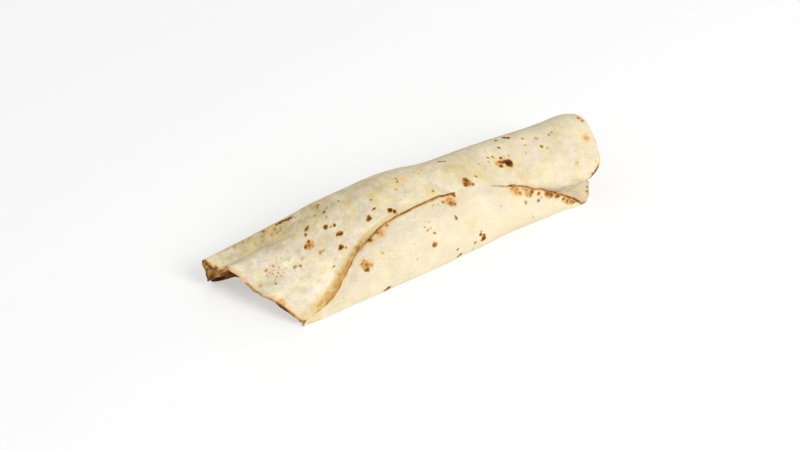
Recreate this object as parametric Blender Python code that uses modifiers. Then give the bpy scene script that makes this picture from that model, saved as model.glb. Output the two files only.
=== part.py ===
"""A flour tortilla rolled up into an open tube.

One soft sheet makes about one and a half turns. Its outer end is a broad flap that lies over
the front. Its inner end is loose inside the hollow. The roll is round towards +X. Towards -X it is
pressed flat, with a pinched fold along its back edge.

Metres. +X runs along the roll, -Y is the side with the flap, +Z is up, and the roll rests on Z = 0.
"""
import bmesh
import bpy
import numpy as np

NAME = "rolled_quesadilla"

# The flat sheet
SHEET_RADIUS = 0.125
THICKNESS = 0.002
CELLS_ALONG = 24          # grid cells along the roll
CELLS_AROUND = 96         # grid cells around it
CORNER_ROW = 0.9          # the grid's corners lie on the rim at this share of its radius
STRAIGHT_ROWS = 0.8       # rows up to here are straight, and those beyond it bend with the rim
ROW_STEPS = 401           # steps that work out the rows' places
# Rows lie closer together where the sheet turns sharply: distance towards the flap, half length of
# the stretch, and how many more rows it has
SHARP_TURNS = ((0.084, 0.012, 1.5), (-0.094, 0.012, 1.5), (-0.010, 0.030, 0.7))

# The turns
LAYER_GAP = 0.0007        # clear space between two turns that lie on each other
FLAP_LENGTH = 0.0415      # from the fold at the bottom front to the flap's tip
SIDES = 12                # corners of the polygon that guides one turn
SHARPEST = 0.72           # cosine of half the sharpest corner that the next layer follows closely
FOLD_CORNER = 1           # the corner where the flap meets the base
FIRST_TURN = -5.0         # the guide starts here, counted in corners, beyond the flap's tip
LAST_TURN = 20.0          # and ends here, beyond the sheet's inner end
TURN_STEPS = 400          # steps that measure the length of one section
TABLE_PLACES = 80         # sections along X that are measured
TABLE_DISTANCES = 320     # distances across the sheet that are looked up in each
SOFT_CONTACT = 0.0035     # height over which the sheet bends up from what it lies on
COVERED_FROM = 7.0        # from this corner, at the back, the sheet starts to rise onto the base

# The sheet is not quite a disc. Each row holds a distance from the sheet's centre towards the flap,
# and there the radius of its rim at the -X end and at the +X end.
RIM = (
    (-0.125, 0.126, 0.127),
    (-0.100, 0.126, 0.146),
    (-0.088, 0.122, 0.144),
    (-0.079, 0.131, 0.141),
    (-0.065, 0.128, 0.137),
    (-0.030, 0.125, 0.127),
    (0.000, 0.131, 0.132),
    (0.030, 0.105, 0.140),
    (0.060, 0.107, 0.136),
    (0.080, 0.128, 0.131),
    (0.094, 0.120, 0.127),
    (0.107, 0.1235, 0.122),
    (0.125, 0.134, 0.116),
)

# The round part of the roll: its place along X, half width, height and the Y of its middle
STATIONS = (
    (-0.130, 0.0310, 0.0475, 0.0050),
    (-0.100, 0.0325, 0.0540, 0.0050),
    (-0.065, 0.0330, 0.0575, 0.0040),
    (-0.030, 0.0320, 0.0575, 0.0015),
    (0.010, 0.0315, 0.0540, -0.0005),
    (0.070, 0.0290, 0.0505, -0.0005),
    (0.130, 0.0310, 0.0490, -0.0060),
)
MIDDLE_HEIGHT = 0.45      # height of the section's middle, as a share of its whole height
TAPER = 0.15              # how much narrower the section is at its top
# The corners of one turn in the round part: angle above the front horizontal, and reach from the
# middle as a share of the half width or height
ROUND_CORNERS = (
    (15, 1.12),
    (-28, 1.22),
    (-62, 1.30),
    (-90, 1.16),
    (-118, 1.12),
    (-146, 1.08),
    (-176, 1.10),
    (-202, 1.06),
    (-228, 1.06),
    (-256, 1.08),
    (-286, 0.92),
    (-318, 0.94),
)

# The same corners where the roll is pressed flat, as Y and Z
FLAT_CORNERS = (
    (-0.0070, 0.0125),    # slope above the front fold
    (-0.0355, -0.0040),   # front fold
    (-0.0150, -0.0060),   # base
    (0.0120, -0.0020),
    (0.0320, -0.0020),
    (0.0520, -0.0010),    # lower back fold
    (0.0360, 0.0045),     # pinch between the back folds
    (0.0430, 0.0125),
    (0.0470, 0.0220),     # upper back fold
    (0.0290, 0.0105),     # valley
    (0.0355, 0.0245),     # ridge
    (0.0145, 0.0110),     # slope
)
FLAT_FROM = 0.010         # the section starts to flatten here
FLAT_AT = -0.153          # and would be wholly flat here

# The inner turn lifts off the outer one by this rate at each place along X
LOOSENESS = ((-0.100, 0.0), (0.0, 0.0005), (0.080, 0.0035), (0.120, 0.0030))
LOOSE_FROM = 11.0         # corner from which it lifts
LOOSE_POWER = 1.3
LOOSE_MOST = 0.015


def ease(start, end, x):
    """Rise smoothly from 0 at start to 1 at end."""
    t = np.clip((x - start) / (end - start), 0.0, 1.0)
    return t * t * (3.0 - 2.0 * t)


def through(knots, values, x):
    """A smooth curve through the values at the knots, straight beyond the last ones."""
    knots = np.asarray(knots, dtype=float)
    values = np.asarray(values, dtype=float)
    slope = np.empty_like(values)
    slope[1:-1] = (values[2:] - values[:-2]) / (knots[2:] - knots[:-2])
    slope[0] = (values[1] - values[0]) / (knots[1] - knots[0])
    slope[-1] = (values[-1] - values[-2]) / (knots[-1] - knots[-2])
    i = np.clip(np.searchsorted(knots, x) - 1, 0, len(knots) - 2)
    span = knots[i + 1] - knots[i]
    t = (x - knots[i]) / span
    s = np.clip(t, 0.0, 1.0)
    curve = (
        (2 * s**3 - 3 * s**2 + 1) * values[i]
        + (s**3 - 2 * s**2 + s) * span * slope[i]
        + (3 * s**2 - 2 * s**3) * values[i + 1]
        + (s**3 - s**2) * span * slope[i + 1]
    )
    before = np.minimum(t, 0.0) * span * slope[0]
    after = np.maximum(t - 1.0, 0.0) * span * slope[-1]
    return curve + before + after


def at_least(height, level):
    """Keep a height above a level, with a soft bend where the two meet."""
    blend = np.maximum(SOFT_CONTACT - np.abs(height - level), 0.0) / SOFT_CONTACT
    return np.maximum(height, level) + blend * blend * SOFT_CONTACT / 4.0


def guide_polygon(x):
    """Corners (Y, Z) of one closed turn at each place along X, as two arrays of len(x) by SIDES."""
    place, half_width, height, middle = (np.array(column) for column in zip(*STATIONS))
    half_width = through(place, half_width, x)[:, None]
    height = through(place, height, x)[:, None]
    middle = through(place, middle, x)[:, None]
    angle = np.radians([corner[0] for corner in ROUND_CORNERS])
    reach = np.array([corner[1] for corner in ROUND_CORNERS])
    centre = MIDDLE_HEIGHT * height
    radius = np.where(np.sin(angle) > 0.0, height - centre, centre)
    y = -half_width * np.cos(angle) * reach
    z = radius * np.sin(angle) * reach
    y = middle + y * (1.0 - TAPER * z / height)
    z = centre + z
    flat = np.array(FLAT_CORNERS)
    share = ease(FLAT_FROM, FLAT_AT, x)[:, None]
    return y + (flat[:, 0] - y) * share, z + (flat[:, 1] - z) * share


def inward(y, z):
    """Direction from each corner into the polygon, long enough to shift both its sides by one."""
    side_y = np.roll(y, -1, axis=1) - y
    side_z = np.roll(z, -1, axis=1) - z
    length = np.hypot(side_y, side_z)
    normal_y = -side_z / length
    normal_z = side_y / length
    sum_y = normal_y + np.roll(normal_y, 1, axis=1)
    sum_z = normal_z + np.roll(normal_z, 1, axis=1)
    length = np.hypot(sum_y, sum_z)
    cosine = (sum_y * normal_y + sum_z * normal_z) / length
    stretch = 1.0 / (length * np.clip(cosine, SHARPEST, 1.0))
    return sum_y * stretch, sum_z * stretch


def spiral(x, turn):
    """Points (Y, Z) of the sheet's middle. A turn counts corners from the flap towards the inside.

    The guide polygon moves inward by one layer at each full turn, and a cubic B-spline follows it.
    """
    polygon_y, polygon_z = guide_polygon(x)
    in_y, in_z = inward(polygon_y, polygon_z)
    layer = THICKNESS + LAYER_GAP
    places, rates = zip(*LOOSENESS)
    rate = np.interp(x, places, rates)
    row = np.arange(len(x))
    first = np.floor(turn).astype(int)
    f = turn - first
    weights = (
        (1 - f) ** 3 / 6,
        (3 * f**3 - 6 * f**2 + 4) / 6,
        (-3 * f**3 + 3 * f**2 + 3 * f + 1) / 6,
        f**3 / 6,
    )
    y = np.zeros(len(x))
    z = np.zeros(len(x))
    for step, weight in enumerate(weights):
        corner = first + step - 1
        side = corner % SIDES
        lift = rate * np.maximum(corner - LOOSE_FROM, 0.0) ** LOOSE_POWER
        shift = layer * corner / SIDES + np.minimum(lift, LOOSE_MOST)
        y += weight * (polygon_y[row, side] + in_y[row, side] * shift)
        z += weight * (polygon_z[row, side] + in_z[row, side] * shift)
    covered = ease(COVERED_FROM, SIDES, turn)
    return y, at_least(z, THICKNESS / 2 + layer * covered)


def turn_table(places, distances):
    """The turn at each place along X and each distance from the sheet's centre to the flap."""
    turns = np.linspace(FIRST_TURN, LAST_TURN, TURN_STEPS)
    table = []
    for x in places:
        y, z = spiral(np.full(len(turns), x), turns)
        run = np.concatenate([[0.0], np.cumsum(np.hypot(np.diff(y), np.diff(z)))])
        run -= np.interp(FOLD_CORNER, turns, run)
        distance = (SHEET_RADIUS - FLAP_LENGTH) - run
        table.append(np.interp(distances, distance[::-1], turns[::-1]))
    return np.array(table)


def rolled(x, distance):
    """Points of the sheet's middle at places along X and distances towards the flap."""
    places = np.linspace(x.min(), x.max(), TABLE_PLACES)
    distances = np.linspace(-SHEET_RADIUS, SHEET_RADIUS, TABLE_DISTANCES)
    table = turn_table(places, distances)
    column = (x - places[0]) / (places[1] - places[0])
    line = (distance - distances[0]) / (distances[1] - distances[0])
    i = np.clip(column.astype(int), 0, len(places) - 2)
    j = np.clip(line.astype(int), 0, len(distances) - 2)
    a = column - i
    b = line - j
    turn = (
        (1 - a) * (1 - b) * table[i, j]
        + a * (1 - b) * table[i + 1, j]
        + (1 - a) * b * table[i, j + 1]
        + a * b * table[i + 1, j + 1]
    )
    y, z = spiral(x, turn)
    return np.stack([x, y, z], axis=1)


def row_spacing(v):
    """Rows from -1 to 1, moved so that they crowd together at the sharp turns."""
    even = np.linspace(-1.0, 1.0, ROW_STEPS)
    density = np.ones(len(even))
    for distance, half_length, more in SHARP_TURNS:
        density += more * np.exp(-(((even * SHEET_RADIUS - distance) / half_length) ** 2))
    total = np.concatenate([[0.0], np.cumsum((density[1:] + density[:-1]) / 2.0)])
    return np.interp((v + 1.0) / 2.0, total / total[-1], even)


def on_sheet(u, v):
    """Spread a square grid, -1 to 1 each way, over the sheet: place along X, distance to flap."""
    v = row_spacing(v)
    size = np.abs(v)
    tip = np.sqrt(1.0 - (1.0 - CORNER_ROW**2) * u * u) - CORNER_ROW
    around = np.sign(v) * (size * CORNER_ROW + tip * ease(STRAIGHT_ROWS, 1.0, size))
    along = u * np.sqrt(1.0 - (v * CORNER_ROW) ** 2)
    chord = np.sqrt(np.maximum(1.0 - around * around, 1e-9))
    distance = SHEET_RADIUS * around
    rows, left, right = zip(*RIM)
    left = -through(rows, left, distance) * chord
    right = through(rows, right, distance) * chord
    share = np.clip(along / chord, -1.0, 1.0) / 2.0 + 0.5
    return left + (right - left) * share, distance


def dough_material():
    """Pale baked dough, a little warm."""
    material = bpy.data.materials.new("dough")
    material.use_nodes = True
    shader = material.node_tree.nodes["Principled BSDF"]
    shader.inputs["Base Color"].default_value = (0.80, 0.69, 0.47, 1.0)
    shader.inputs["Roughness"].default_value = 0.62
    shader.inputs["Metallic"].default_value = 0.0
    return material


def make_tortilla(collection):
    """The whole sheet: a flat grid, rolled up and thickened."""
    mesh = bpy.data.meshes.new("tortilla")
    grid = bmesh.new()
    bmesh.ops.create_grid(grid, x_segments=CELLS_ALONG, y_segments=CELLS_AROUND, size=1.0)
    grid.to_mesh(mesh)
    grid.free()
    flat = np.empty(len(mesh.vertices) * 3)
    mesh.vertices.foreach_get("co", flat)
    flat = flat.reshape(-1, 3)
    x, distance = on_sheet(flat[:, 0], flat[:, 1])
    points = rolled(x, distance)
    middle = (points.min(axis=0) + points.max(axis=0)) / 2.0
    points[:, :2] -= middle[:2]
    mesh.vertices.foreach_set("co", points.ravel())
    mesh.flip_normals()
    mesh.update()
    mesh.shade_smooth()
    tortilla = bpy.data.objects.new("tortilla", mesh)
    collection.objects.link(tortilla)
    tortilla.data.materials.append(dough_material())
    shell = tortilla.modifiers.new("thickness", "SOLIDIFY")
    shell.thickness = THICKNESS
    shell.offset = 0.0
    shell.use_even_offset = False
    shell.use_rim = True
    return tortilla


def main():
    for thing in list(bpy.data.objects):
        bpy.data.objects.remove(thing, do_unlink=True)
    collection = bpy.data.collections.new(NAME)
    bpy.context.scene.collection.children.link(collection)
    make_tortilla(collection)


main()
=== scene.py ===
"""Looks of a rolled quesadilla: one flour tortilla, toasted in spots and rolled into a tube.

The sheet follows the same turns as the CAD solid, with a finer mesh, a thin rounded rim, soft dents
and fine ripples. Metres, unless a name or a comment says millimetres. +X runs along the roll, -Y is
the side with the flap, and +Z is up.

A place on the flat sheet is given by its distance along the roll and its distance from the sheet's
middle towards the flap.
"""

import math

import bpy
import numpy as np
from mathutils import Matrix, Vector


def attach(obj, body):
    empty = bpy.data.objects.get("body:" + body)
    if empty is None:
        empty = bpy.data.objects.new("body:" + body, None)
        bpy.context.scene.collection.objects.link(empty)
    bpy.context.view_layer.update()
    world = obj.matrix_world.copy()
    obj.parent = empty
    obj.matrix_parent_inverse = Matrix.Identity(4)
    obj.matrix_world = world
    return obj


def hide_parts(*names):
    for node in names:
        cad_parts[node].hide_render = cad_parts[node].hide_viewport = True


# ---------------- the sheet, as in the CAD source
SHEET_RADIUS = 0.125
THICKNESS = 0.002
CORNER_ROW = 0.9  # the grid's corners lie on the rim at this share of its radius
STRAIGHT_ROWS = 0.8  # rows up to here are straight, and those beyond it bend with the rim
# Rows crowd together at sharp turns: distance towards the flap, half length, how many more
SHARP_TURNS = ((0.084, 0.012, 1.5), (-0.094, 0.012, 1.5), (-0.010, 0.030, 0.7))
LAYER_GAP = 0.0007  # between two turns that lie on each other
FLAP_LENGTH = 0.0415  # from the fold at the bottom front to the flap's tip
SIDES = 12  # corners of the polygon that guides one turn
SHARPEST = 0.72  # cosine of half the sharpest corner that the next layer follows
FOLD_CORNER = 1  # the corner where the flap meets the base
FIRST_TURN = -5.0  # the guide's ends, counted in corners
LAST_TURN = 20.0
SOFT_CONTACT = 0.0035  # height over which the sheet bends up from what it lies on
COVERED_FROM = 7.0  # from this corner the sheet starts to rise onto the base
# How finely all this is worked out
ROW_STEPS = 401
TURN_STEPS = 400
TABLE_PLACES = 80
TABLE_DISTANCES = 320

# The sheet's outline: distance towards the flap, and there the rim's radius at the -X and +X ends
RIM = (
    (-0.125, 0.126, 0.127), (-0.1, 0.126, 0.146), (-0.088, 0.122, 0.144),
    (-0.079, 0.131, 0.141), (-0.065, 0.128, 0.137), (-0.03, 0.125, 0.127), (0.0, 0.131, 0.132),
    (0.03, 0.105, 0.14), (0.06, 0.107, 0.136), (0.08, 0.128, 0.131), (0.094, 0.12, 0.127),
    (0.107, 0.1235, 0.122), (0.125, 0.134, 0.116),
)
# Sections of the round part: place along X, half width, height and the Y of the middle
STATIONS = (
    (-0.13, 0.031, 0.0475, 0.005), (-0.1, 0.0325, 0.054, 0.005),
    (-0.065, 0.033, 0.0575, 0.004), (-0.03, 0.032, 0.0575, 0.0015),
    (0.01, 0.0315, 0.054, -0.0005), (0.07, 0.029, 0.0505, -0.0005),
    (0.13, 0.031, 0.049, -0.006),
)
MIDDLE_HEIGHT = 0.45  # height of the section's middle, as a share of its whole height
TAPER = 0.15  # how much narrower the section is at its top
# The corners of one turn in the round part: angle above the front, and reach as a share
ROUND_CORNERS = (
    (15, 1.12), (-28, 1.22), (-62, 1.3), (-90, 1.16), (-118, 1.12), (-146, 1.08), (-176, 1.1),
    (-202, 1.06), (-228, 1.06), (-256, 1.08), (-286, 0.92), (-318, 0.94),
)
# The same corners in the flat part, as Y and Z
FLAT_CORNERS = (
    (-0.007, 0.0125), (-0.0355, -0.004), (-0.015, -0.006), (0.012, -0.002),
    (0.032, -0.002), (0.052, -0.001), (0.036, 0.0045), (0.043, 0.0125), (0.047, 0.022),
    (0.029, 0.0105), (0.0355, 0.0245), (0.0145, 0.011),
)
FLAT_FROM = 0.010  # the section starts to flatten here
FLAT_AT = -0.153  # and would be wholly flat here
# The inner turn lifts off the outer one by this rate at each place along X
LOOSENESS = ((-0.100, 0.0), (0.0, 0.0005), (0.080, 0.0035), (0.120, 0.0030))
LOOSE_FROM = 11.0  # corner from which it lifts
LOOSE_POWER = 1.3
LOOSE_MOST = 0.015

# ---------------- the finer shape
SHIFT = (-0.00236, -0.00438)  # puts the sheet where the CAD solid stands
CELLS_ALONG = 150
CELLS_AROUND = 310
RIM_POINTS = 3  # points across the rounded rim, between the two sides
THIN_WITHIN = 0.007  # the sheet gets thinner this close to its rim
THIN_OUTER = 0.40  # to this share of its half thickness on the outside
THIN_INNER = 0.50  # and this share on the inside
FRILL = 0.0010  # how far the rim wanders in and out at the flat end
FRILL_REST = 0.5  # and by this share of it elsewhere,
FRILL_CHANGE = (-0.09, -0.05)  # with the change between these places along the roll
FRILL_CELL = 0.007
FRILL_FINER = 2.3  # it has waves this many times shorter, too
FRILL_DEPTH = 0.021  # how deep into the sheet it reaches
CURL = 0.0005  # how far the rim wanders up and down
CURL_DEPTH = 0.014
SWELL = 0.00028  # height of the soft swells all over the sheet
SWELL_CELL = 0.015
RIPPLE = 0.00009  # and of the small ones on its outside
RIPPLE_CELL = 0.0045
HILL_CELLS = 128  # of the random heights, before they repeat
SEED = 7
# Dents and bulges: place along the roll and towards the flap, half length, half width, height
DENTS = (
    (-0.016, -0.026, 0.02, 0.016, 0.0012), (0.014, -0.027, 0.016, 0.014, -0.0012),
    (0.113, -0.031, 0.012, 0.013, 0.002), (0.04, 0.072, 0.034, 0.014, -0.001),
    (-0.032, 0.075, 0.02, 0.014, 0.0009),
)
# Tongues of the rim: place along the roll and towards the flap, half length, how far it sticks out
TONGUES = (
    (-0.118, 0.015, 0.004, 0.0075), (-0.1265, 0.006, 0.0035, 0.002),
    (-0.131, -0.007, 0.006, -0.0014), (-0.1025, -0.078, 0.004, 0.0015),
    (-0.0975, 0.08, 0.007, 0.0058), (-0.068, 0.103, 0.018, -0.0018),
    (0.121, -0.039, 0.014, 0.0014),
)
TONGUE_DEPTH = 0.025
# Where the slope and the fold at the flat end are softened: from, to, and the widths in which the
# softening starts and ends
SOFT_ALONG = (-0.124, -0.050, 0.012, 0.020)
SOFT_TO_FLAP = (-0.042, -0.012, 0.008, 0.008)
SOFT_STEPS = 45
# Places on the rim in millimetres, along the roll and towards the flap. For each: how dark its
# outermost line is, the strength and width of the band behind it, how far the rim is pressed in,
# and its share of the usual thickness
RIM_PLACES = (
    # the flat end, from the back to the front; its dark outermost lines are toast, and partly
    # painted shade under the edge
    (-112, 20, 0.5, 0.4, 3, 0, 1), (-118, 15, 0.9, 1.05, 5, 0, 1), (-125, 9, 0.9, 1.1, 6, 0, 1),
    (-130, 2, 0.9, 1.05, 4, 0, 1), (-131.5, -5, 0.7, 0.6, 3, 0, 1),
    (-131, -9, 0.6, 0.35, 3, 0, 1), (-128, -14, 0.3, 0.32, 5, 0, 1),
    (-125, -21, 0.4, 0.4, 5, 0, 1), (-123, -26, 0.3, 0.32, 3.5, 0, 0.9),
    (-121, -32, 0.15, 0.34, 4, 0, 0.8), (-118.5, -39, 0.1, 0.36, 5.5, 0, 0.8),
    (-117.5, -43, 0.4, 0.34, 5, 0, 0.8), (-116, -49, 0.36, 0.2, 3, 0, 0.7),
    (-114, -54, 0.34, 0.2, 3, 0, 0.7), (-111.5, -60, 0.4, 0.45, 6, 0, 0.8),
    (-110, -64, 1.1, 0.58, 7, 0, 1), (-108.5, -67.5, 1.1, 0.52, 6, 0, 1),
    (-106.5, -72, 0.6, 0.36, 4.5, 0, 0.9), (-104.5, -76, 0.3, 0.34, 4, 0, 0.9),
    (-102, -79, 0.6, 0.34, 4, 0, 0.9), (-98, -86, 0.4, 0.2, 3, 0, 1),
    (-70, -106, 0.2, 0.2, 3, 0, 1), (0, -125, 0.2, 0.2, 3, 0, 1), (-100, 40, 0.4, 0.3, 3, 0, 1),
    # the flap, from the flat end to the round one
    (-98, 79, 0.1, 0.26, 2.4, 0.3, 0.35), (-95, 84, 0, 0.28, 2.4, 0.6, 0.35),
    (-84, 91, 0, 0.32, 2.6, 1.2, 0.35), (-72, 100, 0, 0.34, 2.8, 1.1, 0.35),
    (-60, 109.5, 0.1, 0.36, 2.6, 1.1, 0.35), (-54, 112.5, 0.3, 0.42, 3, 1.2, 0.6),
    (-47.5, 116, 0.75, 0.56, 4, 1.6, 0.7), (-41, 118.5, 0.7, 0.56, 4, 1.8, 0.7),
    (-35, 121, 0.42, 0.5, 3.6, 1.8, 0.7), (-28, 122.3, 0.5, 0.48, 3.4, 1.8, 0.7),
    (-22, 123, 0.75, 0.5, 3.2, 1.7, 0.8), (-14, 124.2, 0.75, 0.46, 3, 1.6, 0.8),
    (-7, 125, 0.55, 0.44, 3, 1.9, 0.8), (-1, 125.5, 0.8, 0.5, 3.2, 1.8, 0.8),
    (4, 125.4, 0.9, 0.55, 3.6, 1.5, 0.8), (8, 124.8, 0.8, 0.5, 3.4, 1.5, 0.8),
    (11.5, 124.2, 0.9, 0.2, 2, 1.5, 0.5), (14, 123.8, 0, 0, 1, 1.9, 0.2),
    (24, 122, 0, 0, 1, 1.9, 0.2), (36, 118.8, 0, 0, 1, 1.6, 0.2),
    (41, 117.2, 0.25, 0.1, 1.5, 2, 0.5), (47, 114.6, 0.35, 0.36, 2.6, 2, 0.7),
    (52, 112.8, 0.4, 0.5, 3.6, 2.1, 0.8), (58, 110.3, 0.5, 0.5, 3.6, 2.4, 0.9),
    (64, 106.3, 0.65, 0.5, 3.6, 2.9, 1), (70, 102.6, 0.6, 0.42, 3.4, 3.5, 1),
    (78, 98, 0.9, 0.6, 4, 3.8, 1), (86, 92.3, 0.6, 0.42, 3, 3.8, 1),
    (93, 87, 0.8, 0.5, 3.5, 3.2, 1), (99, 81.5, 0.8, 0.4, 3, 2.4, 1),
    (105, 75.5, 0.3, 0.15, 2, 1.2, 1),
    # the round end, from the front to the back
    (112, 68, 0.1, 0.1, 1.5, 0, 1), (119, 60, 0.15, 0.15, 2, 0, 0.8),
    (122, 55, 0.12, 0.15, 2, 0, 0.8), (128, 30, 0.1, 0.1, 2, 0, 1),
    (132, 0, 0.05, 0.05, 1.5, 0, 0.9), (131, -25, 0.05, 0.05, 1.5, 0, 0.9),
    (127, -40, 0.05, 0.06, 1.5, 0, 0.9), (121, -56, 0.08, 0.06, 1.5, 0, 0.9),
    (117, -64, 0.12, 0.08, 1.5, 0, 1), (114.2, -69.5, 0.7, 0.15, 1.5, 0.3, 1),
    (112, -74, 0.9, 0.2, 1.5, 1.2, 1), (108.5, -80, 0.4, 0.2, 1.5, 3.2, 1),
    (104, -86, 0.3, 0.2, 1.5, 4.5, 1), (97, -93, 0.3, 0.2, 1.5, 4.5, 1),
    (86, -101, 0.2, 0.2, 1.5, 2.5, 1),
)
PRESSED_WITHIN = 0.010  # a lightly pressed rim bends over this width, and over more when it is
PRESSED_MORE = 0.35  # pressed further: by this share for each millimetre
LINE_MM = 1.8  # width of the rim's outermost line
BAND_BLUSH = 2.2  # how much blush the band behind it gets for its strength
BAND_TOAST = (1.8, -0.8)  # and how much toast: for its strength, and less this

# ---------------- colours, in linear light
# OLIVE is the dough's own tone and, on the top back, also painted shade; PALE its paler tone and,
# on the flat end's front slope and inside the round end, also painted light
DOUGH = (0.775, 0.675, 0.480)
OLIVE = (0.68, 0.555, 0.285)
PALE = (0.94, 0.83, 0.61)
# Colours of the small freckles, and of the brown mottles; the mottle colour also paints the shade
# of the fine creases
FRECKLE = (0.42, 0.31, 0.15)
MOTTLE_AND_CREASE_SHADE = (0.40, 0.265, 0.09)
# Colours that come in by a strength: from and to which strength, and the colour
OLIVE_COLOURS = ((0.0, 1.0, OLIVE), (0.0, -1.0, PALE))
# painted shade, warm brown, in the crease beside the flap's edge
FLAP_EDGE_SHADE_COLOURS = ((0.05, 0.85, (0.72, 0.52, 0.22)), (0.70, 1.10, (0.55, 0.31, 0.085)))
BAKED_COLOURS = ((0.0, 0.5, (0.51, 0.235, 0.068)), (0.5, 0.9, (0.30, 0.115, 0.030)))
# the blush colours also paint the warm light inside the round end
BLUSH_COLOURS = ((0.0, 1.1, (0.84, 0.50, 0.21)), (0.75, 1.5, (0.66, 0.30, 0.085)))
# Toast by its strength
TOAST_COLOURS = (
    (0.08, (0.71, 0.51, 0.27)), (0.24, (0.57, 0.34, 0.125)), (0.42, (0.41, 0.21, 0.054)),
    (0.62, (0.285, 0.118, 0.022)), (0.85, (0.165, 0.057, 0.008)), (1.20, (0.066, 0.020, 0.003)),
)
TOAST_MOST = 1.5  # the strength at the ramp's end
TOAST_COVERS = (0.0, 0.22)  # between these strengths it covers the dough
TOAST_SMOOTH = (0.2, 0.9)  # and between these it gets smoother
# How much the dough varies: its lightness, and each of red, green and blue
TONE_CLOUDS = 0.72
COLOUR_CLOUDS = (0.27, 0.19, 0.80)
CLOUD_MM = 9.0
CLOUD_ROUGHNESS = 0.68
CLOUD_APART_MM = 300.0  # between the noise for its lightness and the one for its hue
DRIFT = 2.0  # how much its olive varies broadly
DRIFT_MM = 18.0
VEINS = 1.6  # and finely
VEINS_MM = 5.0
GRAIN = 0.36
GRAIN_MM = 0.9
# How blotches break up each of these: from and to of the noise, and from and to of the share
UNEVEN_MM = 3.0
UNEVEN_EDGE_SHADE = (0.3, 0.7, 0.75, 1.15)
UNEVEN_BLUSH = (0.3, 0.7, 0.7, 1.3)
UNEVEN_BAND = (0.3, 0.7, 0.6, 1.3)
UNEVEN_LINE = (0.3, 0.6, 0.6, 1.1)
# The flap varies less than the rest, and the round end less than the flat one, by these shares
FLAP_CALM = 0.47
ROUND_END_CALM = 0.82
FLAT_END_CALM = 1.35
TINT_CALM = 0.66  # and the flap's hue, by this share,
TINT_CALM_RISE = (0.4, 1.0)  # which rises to the whole between these values of the rest
TO_FLAP_MM = (20.0, 70.0)  # they change between these distances towards the flap
TO_FLAT_END_MM = (70.0, -60.0)  # and these places along the roll
MOTTLE_MM = 4.2
MOTTLE_ROUGHNESS = 0.65
MOTTLE_RISE = (0.47, 0.66)  # they rise between these values of the noise
MOTTLE_MOST = 0.8
MOTTLE_INSIDE = 0.3  # and on the inside, by this share
# Brown mottles in millimetres: along the roll, towards the flap, radius, strength
MOTTLES = (
    (-108, -6, 16, 1), (-96, -14, 12, 0.9), (-84, -18, 10, 0.9), (-72, -22, 9, 0.8),
    (-60, -22, 9, 0.5), (-90, -34, 12, 0.5), (-66, -34, 9, 0.45), (-95, -48, 12, 0.35),
    (-45, -34, 9, 0.35), (-28, -34, 9, 0.4), (-84, -48, 8, 0.5), (-10, -34, 8, 0.3),
)

# Broad patches in millimetres: along the roll, towards the flap, radius, and how olive they are.
# Below zero they are paler than the dough. Besides the dough's own tone, the olive ones on the
# top back are painted shade, and the pale ones on the flat end's front slope and inside the
# round end are painted light
TONE_AND_SHADING_PATCHES = (
    (-98, -58, 26, -0.75), (-80, -62, 18, -0.35), (-112, -40, 14, -0.2), (-45, -60, 12, -0.4),
    (15, -56, 12, -0.35), (122, -26, 16, -0.4), (50, -30, 12, -0.3), (110, -62, 16, 0.1),
    (-75, -30, 14, 0.35), (-88, -24, 14, 0.45), (-103, -12, 16, 0.95), (-88, -10, 12, 0.7),
    (-60, -28, 10, 0.55), (-72, -44, 8, 0.35), (-46, -38, 10, 0.45), (-30, -42, 11, 0.75),
    (-30, -28, 10, 0.3), (-14, -44, 9, 0.45), (2, -40, 9, 0.5), (3, -56, 8, 0.4),
    (34, -36, 9, 0.4), (30, -50, 8, 0.3), (60, -52, 13, 0.5), (80, -50, 16, 0.35),
    (104, -38, 12, 0.35), (104, -48, 9, 0.25), (-50, -22, 10, 0.3), (-40, -70, 10, 0.2),
    (-48, 112, 14, -0.45), (-20, 118, 16, -0.35), (20, 114, 18, -0.2), (-45, 96, 10, 0.25),
    (-82, 92, 10, 0.2), (10, 104, 9, 0.2), (60, 100, 9, 0.15), (0, 92, 8, 0.1),
    (108, 58, 26, -1.1), (-6, -50, 16, 0.3), (20, -48, 14, 0.5), (38, -54, 14, 0.4),
    (-34, -52, 14, 0.3), (-60, -26, 12, 0.3), (-80, -14, 10, 0.35),
)
# Painted shade, warm brown, in the crease on the layer under the flap's edge: place along the
# roll, strength, width (millimetres)
FLAP_EDGE_SHADE = (
    (-97, 0.5, 2.6), (-91, 0.9, 3.6), (-85, 1.1, 4.2), (-74, 1.1, 3.5), (-62, 1.1, 2.4),
    (-50, 0.95, 1.6), (-40, 0.6, 1.3), (-20, 0.3, 1.2), (4, 0.2, 1.5), (12, 0, 1.5), (40, 0, 1.5),
    (52, 0.25, 2), (72, 0.3, 3), (95, 0.3, 4),
)
EDGE_SHADED_UP_TO = -0.020  # only the layer between these distances gets the painted shade
EDGE_SHADED_FROM = -0.090
FLAP_FROM = 0.080  # the flap's edge is the rim beyond this distance
# The inside is baked at the flat end: from and wholly at, along the roll and on both sides
BAKED_ALONG = (-0.100, -0.112)
BAKED_TO_FLAP = (0.045, 0.030)
BAKED_TO_BACK = (-0.034, -0.022)
LESS_BAKED = (0.008, 0.013)  # and from here to here, towards the flap, it gets less so
LESS_BAKED_BY = 0.5

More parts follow.
